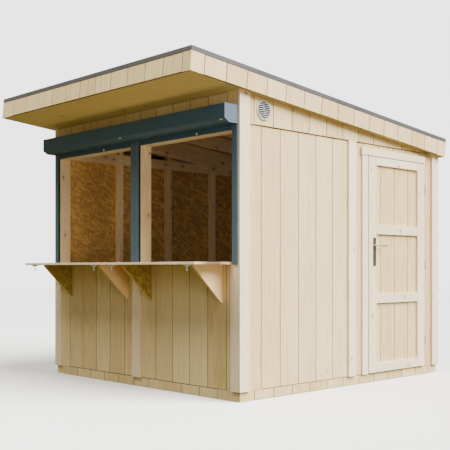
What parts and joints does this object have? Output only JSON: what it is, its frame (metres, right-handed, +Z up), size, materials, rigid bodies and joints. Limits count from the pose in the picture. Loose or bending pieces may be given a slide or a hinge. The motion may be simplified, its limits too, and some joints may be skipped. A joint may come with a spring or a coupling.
{
  "type": "wooden market hut",
  "caption": "Small wooden market hut with a mono-pitch roof, serving openings with counters under roller shutters, and a hinged side door.",
  "frame": {"origin": "centre of the footprint across the corner boards, on the ground, on the underside of the middle floor bearer", "axes": "+X to the door side, +Y from the serving front to the back, +Z up"},
  "size_m": [2.522, 3.1239, 2.4453],
  "materials": {
    "cladding": "planed spruce boards, light cream-beige, satin",
    "trim_boards": "planed spruce boards, lighter cream, small knots",
    "frame_timber": "planed spruce framing, golden",
    "lining_sheet": "strand board, warm brown",
    "floor_boards": "planed floor boards",
    "roof_boards": "planed roof boards",
    "soffit_sheet": "smooth sheet, satin",
    "roof_membrane": "dark grey roofing membrane, matt",
    "roof_metal": "dark grey folded sheet, satin",
    "shutter_metal": "dark slate blue, satin",
    "guide_metal": "dark slate blue, satin",
    "counter_boards": "planed spruce, light",
    "bracket_timber": "planed spruce, golden",
    "zinc_fittings": "bright zinc plate",
    "vent_metal": "pale grey, satin",
    "lock_steel": "satin nickel"
  },
  "bodies": {
    "hut": {"floor_bearers": "frame_timber", "floor_deck": "floor_boards", "plinth_front_back": "cladding", "plinth_sides": "cladding", "front_wall_lower": "cladding", "front_wall_upper": "cladding", "left_wall": "cladding", "back_wall": "cladding", "right_wall_front": "cladding", "right_wall_rear": "cladding", "right_wall_over_door": "cladding", "gable_left": "cladding", "gable_right": "cladding", "wall_linings": "lining_sheet", "wall_studs": "frame_timber", "bottom_plates": "frame_timber", "top_rails": "frame_timber", "front_posts": "frame_timber", "front_rails": "frame_timber", "cover_battens": "trim_boards", "corner_boards_sides": "trim_boards", "corner_boards_ends": "trim_boards", "rafters": "frame_timber", "roof_deck": "roof_boards", "roof_covering": "roof_membrane", "soffit": "soffit_sheet", "fascia_front_back": "cladding", "fascia_sides": "cladding", "roof_edge_trim": "roof_metal", "drip_edge": "roof_metal", "shutter_boxes": "shutter_metal", "shutter_guides": "guide_metal", "shutter_end_slats": "shutter_metal", "counters": "counter_boards", "counter_brackets": "bracket_timber", "counter_catches": "zinc_fittings", "vent_grille": "vent_metal", "door_casing": "trim_boards", "hinge_pins": "zinc_fittings"},
    "door": {"door_hinges": "zinc_fittings", "door_stiles": "trim_boards", "door_rails": "trim_boards", "door_panels": "cladding", "lock_plates": "lock_steel"},
    "lever": {"door_lever": "lock_steel"}
  },
  "joints": [
    {"name": "door_swing", "type": "hinge", "parent": "hut", "child": "door", "pos_m": [1.217, 1.056, 0], "axis": [0, 0, 1], "range_deg": [0, 110]},
    {"name": "lever_turn", "type": "hinge", "parent": "door", "child": "lever", "pos_m": [1.215, 0.302, 1.15], "axis": [-1, 0, 0], "range_deg": [0, 40], "stiffness_Nm_per_rad": 2, "springref_deg": -20.05}
  ]
}
